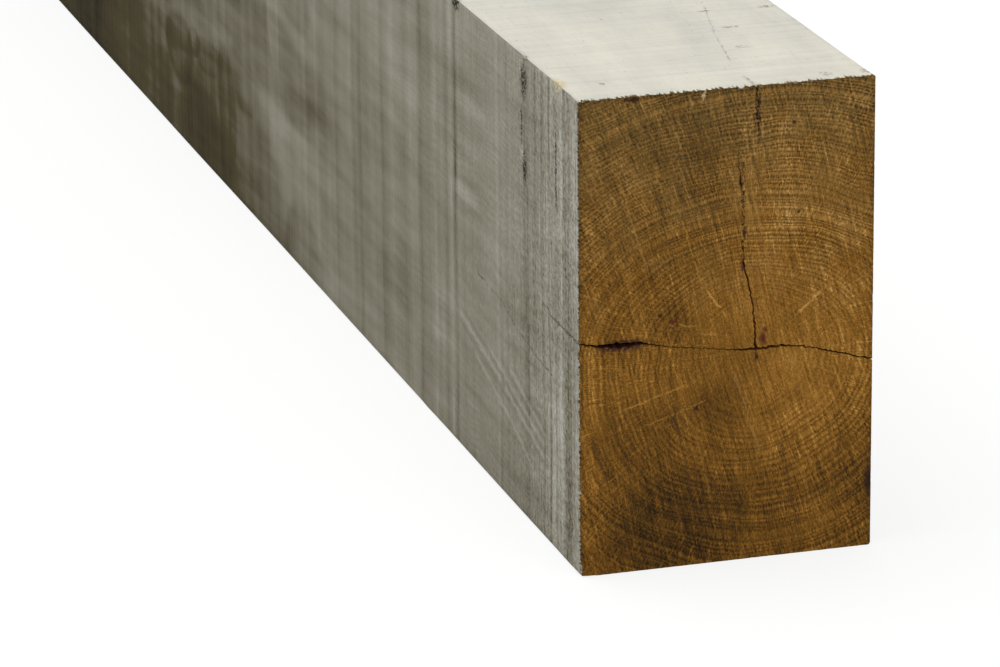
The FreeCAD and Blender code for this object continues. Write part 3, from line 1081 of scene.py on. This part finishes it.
# %% Marks on the side
SIDE_PATCHES = [  # distance from the show end and height of the centre, reach along and up, tone
    ((70, 150), (50, 70), 0.03), ((110, 20), (90, 60), -0.01),
    ((5, 110), (6, 140), 0.03), ((110, 90), (30, 30), 0.02), ((200, 50), (70, 70), -0.03),
    ((250, 130), (70, 60), -0.02), ((80, 88), (24, 22), -0.05), ((300, 20), (120, 50), -0.03),
    ((297, 78), (60, 50), -0.06), ((330, 150), (16, 60), -0.02), ((205, 150), (30, 60), -0.03),
    ((158, 157), (24, 3.5), 0.09), ((160, 117), (20, 3.5), 0.08), ((11, 164), (9, 42), 0.10),
    ((135, 20), (60, 40), -0.02), ((155, 142), (36, 34), -0.035), ((505, 90), (30, 18), -0.04),
    ((31, 28), (9, 40), 0.06), ((31, 95), (9, 26), -0.05),
]
BLOTCHES = [  # the same, for stains with a clear edge
    ((900, 100), (530, 420), -0.05), ((512, 92), (142, 22), -0.08), ((428, 80), (56, 12), -0.035),
    ((575, 5), (108, 64), -0.145), ((770, -10), (215, 68), -0.14), ((586, 36), (20, 34), -0.06),
    ((860, 0), (165, 74), -0.12), ((700, 70), (90, 22), -0.08), ((985, 40), (110, 150), -0.12),
    ((452, 134), (34, 15), -0.05), ((490, 112), (12, 26), 0.05), ((440, 8), (34, 22), -0.08),
    ((450, 48), (46, 20), 0.02), ((610, 140), (150, 44), -0.06), ((760, 150), (160, 80), -0.05),
    ((682, 49), (31, 20), -0.10), ((650, 60), (16, 9), -0.06), ((550, 66), (26, 14), -0.04),
    ((852, 15), (34, 34), -0.06), ((622, 58), (28, 10), -0.05),
]
# The hairlines are the checks on the side, the first along the cross split's groove and on past it. Their
# dark colour is painted shade in the cracks.
SIDE_HAIRLINES = [  # distance from the show end and height, at each end of the line
    ((0, 98.6), (21, 98.9)), ((21, 98.9), (36, 100)), ((36, 100), (60, 103.8)), ((35, 74), (64, 76.4)),
    ((62, 76.4), (84, 78.8)), ((83, 78.6), (108, 85)), ((106, 84.7), (147, 87.4)),
]
DARK_ARCH, PALE_ARCH = "#666256", "#a6a397"
ARCHES = [  # the same, for the arches of the grain, each with its colour
    (((180, 59.6), (108, 45.5)), DARK_ARCH), (((109, 45.7), (47, 31.3)), DARK_ARCH),
    (((172, 61.6), (106, 48.4)), PALE_ARCH), (((107, 48.6), (48, 34.2)), PALE_ARCH),
    (((165, 63.7), (104, 51.2)), DARK_ARCH), (((105, 51.4), (48, 37)), DARK_ARCH),
    (((128, 58.5), (48, 39.6)), PALE_ARCH), (((112, 58.6), (46, 42)), DARK_ARCH),
    (((100, 59), (46, 44.4)), PALE_ARCH), (((92, 61), (46, 47)), DARK_ARCH),
    (((150, 50), (96, 36)), PALE_ARCH), (((98, 36.5), (58, 22)), PALE_ARCH),
]
ARCH_WIDTH, ARCH_SHARE = 3.4, 0.48
# The torn holes are painted near-black: painted shade in the torn hollows.
TORN_HOLES = [  # centre, reach
    ((74.5, 189), (4.2, 7)), ((73.5, 152.5), (2.6, 7.5)), ((173, 197), (5, 2.6)), ((78, 170), (1.2, 7)),
    ((31, 165), (1.0, 18)),
]
FRAYED = [(77.5, 194), (77, 158), (29, 198), (172, 198.5)]  # pale torn fibres beside the holes
print(f"{len(SIDE_PATCHES + BLOTCHES)} stains, {len(SIDE_HAIRLINES)} hairlines, {len(ARCHES)} arches")

# %% Lines, pits and stains of the sides
LINE_SIZE = (1.5, 150.0, 150.0)  # the saw's fine lines, along the beam, across and up


def side_place(distance, up_):
    """A place on the -Y side, from its distance to the show end and its height."""
    return (END - distance, -HALF_WIDTH, up_)


def side_line(ends, width):
    """A hairline on the -Y side between two such places."""
    return hairline(tree, shaken, side_place(*ends[0]), side_place(*ends[1]), width)


sides, tree, spot, shaken, grain = start_material("oak_band_sawn_weathered", shake=1.2)
sway = add(tree, "TexNoise", {"Vector": spot, "Scale": 1 / 60, "Detail": 0.0})
sway_middle = centred(tree, sway)
swayed = add(tree, "VectorMath", {0: sway_middle, 1: (5, 0, 0), 2: spot}, operation="MULTIPLY_ADD")
fine_lines = drawn_out(tree, swayed, LINE_SIZE, Scale=0.8, Detail=3.0, Roughness=0.65)
fine_tone = add(tree, "MapRange", {
    "Value": fine_lines, "From Min": 0.28, "From Max": 0.72, "To Min": -1.0,
})
broad_tone = even(tree, drawn_out(tree, swayed, LINE_SIZE, Scale=0.09, Detail=2.0))
stain_tone = even(tree, drawn_out(tree, spot, (150, 60, 60), Detail=4.0, Roughness=0.55))
pit_cells = drawn_out(tree, spot, (1 / 1.1, 1, 1.25), Detail=2.0, Roughness=0.6)
pits = add(tree, "MapRange", {"Value": pit_cells, "From Min": 0.56, "From Max": 0.7})
from_end = add(tree, "SeparateXYZ", {0: spot})
near_end = add(tree, "MapRange", {
    "Value": from_end.outputs["X"], "From Min": END - 110, "From Max": END - 22, "To Min": 0.12,
})
close_up = add(tree, "MapRange", {
    "Value": from_end.outputs["X"], "From Min": END - 420, "From Max": END - 90,
})
more_pits = add(tree, "Math", {0: pits, 1: near_end}, operation="MULTIPLY")
more_lines = add(tree, "Math", {0: fine_tone, 1: near_end}, operation="MULTIPLY")
ridge_share = from_mesh(tree, "ridge_tone")
breaks = drawn_out(tree, spot, (3, 13, 13), Detail=3.0, Roughness=0.65)
break_tone = add(tree, "MapRange", {
    "Value": breaks, "From Min": 0.32, "From Max": 0.66, "To Min": 0.6, "To Max": 1.35,
})
ridge_broken = add(tree, "Math", {0: ridge_share, 1: break_tone}, operation="MULTIPLY")
close_porous = add(tree, "Math", {0: grain.outputs["Porous"], 1: close_up}, operation="MULTIPLY")
dash_noise = drawn_out(tree, swayed, (1.1, 6.5, 6.5), Detail=2.0, Roughness=0.6)
dashes = add(tree, "MapRange", {"Value": dash_noise, "From Min": 0.56, "From Max": 0.72})
more_dashes = add(tree, "Math", {0: dashes, 1: near_end}, operation="MULTIPLY")
mottle = add(tree, "TexNoise", {"Vector": spot, "Scale": 0.42, "Detail": 4.0, "Roughness": 0.7})
mottle_even = even(tree, mottle)
mottle_tone = add(tree, "Math", {0: mottle_even, 1: close_up}, operation="MULTIPLY")
more_mottle = add(tree, "Math", {0: mottle_tone, 1: near_end}, operation="MULTIPLY")
smear_tone = even(tree, drawn_out(tree, spot, (70, 9, 9), Detail=3.0))
waved = add(tree, "VectorMath", {0: sway_middle, 1: (26, 0, 15), 2: shaken}, operation="MULTIPLY_ADD")
placed = [
    (patch(tree, edges, side_place(*centre), (along, 40, rise), softness), weight)
    for edges, softness, stains in ((shaken, 0.55, SIDE_PATCHES), (waved, 0.16, BLOTCHES))
    for centre, (along, rise), weight in stains
]
print(f"{len(tree.nodes)} nodes draw the lines, pits and stains")

# %% Colour and relief of the sides
tone = weigh(tree, 0.53, [
    (ridge_broken, 0.19), (more_lines, 0.10), (broad_tone, 0.04), (stain_tone, 0.05), (smear_tone, 0.04),
    (more_dashes, -0.17), (mottle_tone, 0.035), (more_mottle, 0.10), (close_porous, -0.05),
    (more_pits, -0.18), *placed,
])
greys = add(tree, "ValToRGB", {"Fac": tone})
set_ramp(greys, [
    (0.0, "#1b170b"), (0.25, "#453e28"), (0.5, "#807c6e"), (0.75, "#a9a79d"), (1.0, "#d2d0c6"),
])
arches = [
    (add(tree, "Math", {0: side_line(ends, ARCH_WIDTH), 1: ARCH_SHARE}, operation="MULTIPLY"), code)
    for ends, code in ARCHES
]
# Painted shade in the checks.
lines = [(broken(tree, spot, side_line(ends, 1.8), 2.2, 0.6), "#35302a") for ends in SIDE_HAIRLINES]
holes = [
    patch(tree, shaken, side_place(*centre), (along, 4, rise), 0.5)
    for centre, (along, rise) in TORN_HOLES
]
# Painted shade in the torn holes.
torn = [(broken(tree, spot, hole, 1.3, 0.65), "#231f17") for hole in holes]
frays = [patch(tree, shaken, side_place(*centre), (3.6, 4, 3.2), 0.5) for centre in FRAYED]
frayed = [(broken(tree, shaken, fray, 1.0, 0.25), "#c6c1ab") for fray in frays]
sap = broken(tree, spot, patch(tree, shaken, side_place(29, 199.5), (6, 4, 1.8), 0.5), 2.0, 0.8)
ragged_edge = fringe(tree, spot, (6, 1.2, 1.2), 4.0)
# Painted shade in the split's groove where it runs along this face.
painted_split_shade = from_mesh(tree, "split")
base = paint_over(tree, greys, [
    *arches, *lines, (sap, "#b0a377"), *frayed, *torn, (ragged_edge, "#3a2c1a"),
    (painted_split_shade, "#17120e"),
])
height = weigh(tree, 0.0, [
    (fine_tone, 0.6), (more_pits, -0.8), (broad_tone, 0.4), (more_dashes, -0.6),
    (grain.outputs["Vessel"], -0.15),
])
finish_material(tree, base, 0.9, height, 0.2, 0.06)
print(f"{sides.name}: {len(tree.nodes)} nodes")

# %% [markdown]
# ## Top, bleached by the sun and painted lighter for the light from above
#
# The face that lay uppermost is bleached almost to cream, and its colour is painted lighter still as
# painted light from the lamp above. What shows on it is faint: the last of the saw lines, thin blue-grey
# shadows where the rings were, grey hairlines where the top split runs on, painted as the shade in that
# crack, and dark flecks of dirt in the pores.

# %% Top
# The top's hairlines are the check that runs on from the top split, the first along its groove. Their grey
# is painted shade in the crack.
TOP_HAIRLINES = [((0, 11.9), (17, 12.6)), ((37, 14), (80, 22)), ((80, 22), (127, 33))]
TOP_SAW_LINES = [
    ((122, -61), (121, -44)), ((52, -61), (49, -39)), ((47, -13), (58.5, 35)), ((120.5, 4), (116, 59)),
    ((30, 20), (33, 58)), ((150, -50), (146, 20)),
]
TOP_FLECKS = [  # distance from the show end and place across, reach along and across
    ((58.7, 26.3), (1.6, 2.6)), ((89.9, 32), (1.4, 3.6)), ((117, 57), (1.6, 3.2)), ((8, 44), (3, 2.2)),
    ((7, 60.5), (3, 2)), ((22, -45.5), (1.6, 1.2)), ((118, 30), (1.2, 2.6)),
]


def top_place(distance, across):
    """A place on the top, from its distance to the show end and its place across."""
    return (END - distance, across, DEPTH)


top, tree, spot, shaken, grain = start_material("oak_band_sawn_bleached_and_painted_lighter", shake=0.8)
fine_tone = even(tree, drawn_out(tree, spot, (2.2, 70, 70), Scale=0.8, Detail=3.0))
cloud_tone = even(tree, drawn_out(tree, spot, (60, 22, 22), Detail=3.0))
fleck_noise = drawn_out(tree, spot, (1 / 0.28, 1 / 0.7, 1 / 0.7), Detail=2.0, Roughness=0.6)
flecks = add(tree, "MapRange", {"Value": fleck_noise, "From Min": 0.68, "From Max": 0.76})
ridge_share = from_mesh(tree, "ridge_tone")
dull = patch(tree, shaken, top_place(190, 10), (110, 60, 40), 0.5)
tone = weigh(tree, 0.55, [
    (dull, -0.07), (ridge_share, 0.05), (fine_tone, 0.05), (cloud_tone, 0.08),
    (grain.outputs["Porous"], -0.03), (grain.outputs["Vessel"], -0.04), (flecks, -0.3),
])
# The creams are partly the sun's bleaching and partly painted light from above.
bleached_and_lit_creams = add(tree, "ValToRGB", {"Fac": tone})
set_ramp(bleached_and_lit_creams, [(0.0, "#6f6b60"), (0.3, "#adaca5"), (0.6, "#c5c2b5"), (1.0, "#d6d3c4")])
# Painted shade in the top check.
lines = [
    (hairline(tree, shaken, top_place(*start), top_place(*end), 1.1), "#86837a")
    for start, end in TOP_HAIRLINES
]
scores = [hairline(tree, shaken, top_place(*start), top_place(*end), 2.2) for start, end in TOP_SAW_LINES]
saw_lines = [(broken(tree, spot, score, 3.0, 0.6), "#b3afa3") for score in scores]
smuts = [patch(tree, shaken, top_place(*centre), (*reach, 3), 0.5) for centre, reach in TOP_FLECKS]
dirt = [(broken(tree, spot, smut, 1.2, 0.5), "#857b66") for smut in smuts]
# Painted shade in the top split's groove where it runs along the top.
painted_split_shade = from_mesh(tree, "split")
torn_ends = fringe(tree, spot, (10, 1.1, 1.1), 5.5)
chip = broken(tree, spot, patch(tree, shaken, top_place(29, -HALF_WIDTH), (7, 3.2, 3), 0.5), 2.0, 0.8)
base = paint_over(tree, bleached_and_lit_creams, [
    *saw_lines, *lines, *dirt, (chip, "#b5a67c"), (torn_ends, "#55431f"),
    (painted_split_shade, "#1c1610"),
])
height = weigh(tree, 0.0, [(fine_tone, 0.5), (flecks, -0.8), (grain.outputs["Vessel"], -0.15)])
finish_material(tree, base, 0.9, height, 0.15, 0.1)
print(f"{top.name}: {len(tree.nodes)} nodes")

# %% [markdown]
# ## Underside, band sawn and damp
#
# The bottom face is sawn like the sides. It has had no sun, so it is browner and darker, with more dirt.

# %% Underside
under, tree, spot, _, grain = start_material("oak_band_sawn_damp", shake=1.2)
fine_tone = even(tree, drawn_out(tree, spot, (1.6, 120, 120), Scale=0.8, Detail=3.0))
cloud_tone = even(tree, drawn_out(tree, spot, (120, 45, 45), Detail=4.0))
ridge_share = from_mesh(tree, "ridge_tone")
tone = weigh(tree, 0.46, [
    (ridge_share, 0.10), (fine_tone, 0.07), (cloud_tone, 0.12), (grain.outputs["Porous"], -0.05),
    (grain.outputs["Vessel"], -0.05),
])
damp_greys = add(tree, "ValToRGB", {"Fac": tone})
set_ramp(damp_greys, [
    (0.0, "#1b1710"), (0.25, "#403829"), (0.5, "#6f6654"), (0.75, "#958c78"), (1.0, "#b9b3a2"),
])
height = weigh(tree, 0.0, [(fine_tone, 0.6), (grain.outputs["Vessel"], -0.2)])
finish_material(tree, damp_greys, 0.88, height, 0.2)
print(f"{under.name}: {len(tree.nodes)} nodes")

# %% [markdown]
# ## Torn fibres
#
# A chain saw leaves a beard of loose fibres where it breaks out of the wood, along the top of the cut and
# down its side. Each is a three-sided spike. Hair would need many more points and would not survive an
# export, and a spike is closed, cheap and sharp. They lie flat on the wood, so that nothing stands past
# the beam's own box.

# %% Fibres
TOP_FIBRES, SIDE_FIBRES = 170, 120
fibre_points, fibre_faces = [], []


def add_fibre(root, tip, width):
    """A closed spike from its root to its tip."""
    heading = (tip - root).normalized()
    aside = heading.orthogonal().normalized()
    first = len(fibre_points)
    for corner in range(3):
        turned_aside = Matrix.Rotation(2 * math.pi * corner / 3, 3, heading) @ aside
        fibre_points.append((root + turned_aside * width / 2) * MM)
    fibre_points.append(tip * MM)
    fibre_faces.append((first, first + 2, first + 1))
    fibre_faces.extend([(first + a, first + b, first + 3) for a, b in ((0, 1), (1, 2), (2, 0))])


for _ in range(TOP_FIBRES):
    across = random.uniform(-HALF_WIDTH + 2, HALF_WIDTH - 2)
    root = Vector((END - random.uniform(0.4, 0.9), across, DEPTH - random.uniform(0.35, 0.6)))
    if random.random() < 0.45:  # lies back on the top
        step = Vector((-random.uniform(0.8, 3.2), random.uniform(-1, 1), random.uniform(-0.05, 0.1)))
    else:  # hangs over the cut
        step = Vector((END - 0.15 - root.x, random.uniform(-0.6, 0.6), -random.uniform(0.6, 2.2)))
    add_fibre(root, root + step, random.uniform(0.2, 0.42))
for _ in range(SIDE_FIBRES):
    up_ = random.uniform(2, DEPTH - 2)
    root = Vector((END - random.uniform(0.4, 0.9), -HALF_WIDTH + random.uniform(0.35, 0.6), up_))
    step = Vector((-random.uniform(0.8, 3.5), random.uniform(-0.08, 0.05), random.uniform(-1.6, 0.6)))
    add_fibre(root, root + step, random.uniform(0.2, 0.42))
add_fibre(Vector((END - 0.7, -9.2, DEPTH - 0.7)), Vector((END - 0.1, -10.4, DEPTH - 4.6)), 1.0)

fibre_mesh = bpy.data.meshes.new("torn_fibres")
fibre_mesh.from_pydata(fibre_points, [], fibre_faces)
fibre_mesh.update()
fibres = bpy.data.objects.new("torn_fibres", fibre_mesh)
bpy.context.scene.collection.objects.link(fibres)
report_mesh(fibres)
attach(fibres, "root")
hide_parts("oak_beam")

torn_fibre, tree, spot, _, _ = start_material("oak_fibre_torn_by_the_saw", shake=0.5)
fibre_noise = add(tree, "TexNoise", {"Vector": spot, "Scale": 0.3, "Detail": 3.0, "Roughness": 0.8})
fibre_browns = add(tree, "ValToRGB", {"Fac": fibre_noise})
set_ramp(fibre_browns, [(0.3, "#35260f"), (0.5, "#6a5226"), (0.62, "#8d7341"), (0.75, "#d9c79c")])
pale_splinter = patch(tree, spot, (END, -9.8, DEPTH - 2.6), (4, 1.6, 3), 0.2)
base = paint_over(tree, fibre_browns, [(pale_splinter, "#e2cfa4")])
finish_material(tree, base, 0.85, fibre_noise, 0.02, 0.08)
fibre_mesh.materials.append(torn_fibre)

# %% [markdown]
# ## Which face shows which material
#
# Each face of the beam already holds the number of its material, so the four materials only have to be
# added to the mesh in that order.

# %% Materials on the beam
for material in (end_grain, sides, top, under):  # in the order of the slots
    mesh.materials.append(material)
print([material.name for material in mesh.materials])

# %% [markdown]
# ## Floor and light
#
# A white floor and a white sky make the soft, even light of a product studio. The floor is part plain
# white surface and part glow that only the camera sees, so it stays white in the picture and still takes
# the beam's shadow. The sky lights the beam at a plain level. One large lamp above gives the top its
# brightness, and a smaller one in front lifts the end. The top's colour is also painted lighter, as
# painted light from above.

# %% Floor
SHADOW_SHARE = 0.2
FLOOR_HALF = 12

floor_mesh = bpy.data.meshes.new("floor")
corners = [(x * FLOOR_HALF, y * FLOOR_HALF, low.z) for x, y in ((-1, -1), (1, -1), (1, 1), (-1, 1))]
floor_mesh.from_pydata(corners, [], [(0, 1, 2, 3)])
floor = bpy.data.objects.new("floor", floor_mesh)
bpy.context.scene.collection.objects.link(floor)


def seen_plainly(tree):
    """1 for rays from the camera, and for those that a mirror or a glass sends on."""
    rays = add(tree, "LightPath").outputs
    seen = add(tree, "Math", {0: rays["Is Camera Ray"], 1: rays["Is Glossy Ray"]}, operation="MAXIMUM")
    return add(tree, "Math", {0: seen, 1: rays["Is Transmission Ray"]}, operation="MAXIMUM")


floor_paint = bpy.data.materials.new("studio_floor_matt_white")
floor_paint.use_nodes = True
tree = floor_paint.node_tree
tree.nodes.clear()
paint = add(tree, "BsdfDiffuse", {"Color": colour("#f4f4f2")})
glow = add(tree, "Emission", {"Color": colour("#ffffff"), "Strength": 1.0})
glow_share = add(tree, "Math", {0: seen_plainly(tree), 1: 1 - SHADOW_SHARE}, operation="MULTIPLY")
both = add(tree, "MixShader", {"Fac": glow_share, 1: paint, 2: glow})
add(tree, "OutputMaterial", {"Surface": both})
floor_mesh.materials.append(floor_paint)
print(f"the floor is {2 * FLOOR_HALF} m wide")

# %% Sky and lamps
SKY_STRENGTH = 0.62
LAMPS_AIM = Vector((END * MM * 0.7, 0, 0.1))  # a place inside the beam, nearer the show end
LAMPS = [  # name, place, size, watts
    ("above", (0.5, -0.9, 3.4), 3.0, 95),
    ("front", (4.2, 1.2, 1.6), 1.6, 26),
]

world = bpy.data.worlds.new("studio")
bpy.context.scene.world = world
world.use_nodes = True
tree = world.node_tree
tree.nodes.clear()
strength = add(tree, "MapRange", {"Value": seen_plainly(tree), "To Min": SKY_STRENGTH})
sky = add(tree, "Background", {"Color": (1, 1, 1, 1), "Strength": strength})
add(tree, "OutputWorld", {"Surface": sky})

for name, place, size, watts in LAMPS:
    lamp = bpy.data.lights.new(name, "AREA")
    lamp.shape = "SQUARE"
    lamp.size = size
    lamp.energy = watts
    holder = bpy.data.objects.new(name, lamp)
    holder.location = place
    holder.rotation_euler = (LAMPS_AIM - Vector(place)).to_track_quat("-Z", "Y").to_euler()
    bpy.context.scene.collection.objects.link(holder)
print(f"{len(LAMPS)} lamps")

# %% [markdown]
# ## The picture's tones
#
# The picture's tones stay plain, so that a colour reads as it was written.

# %% Finish
bpy.context.scene.view_settings.view_transform = "Standard"
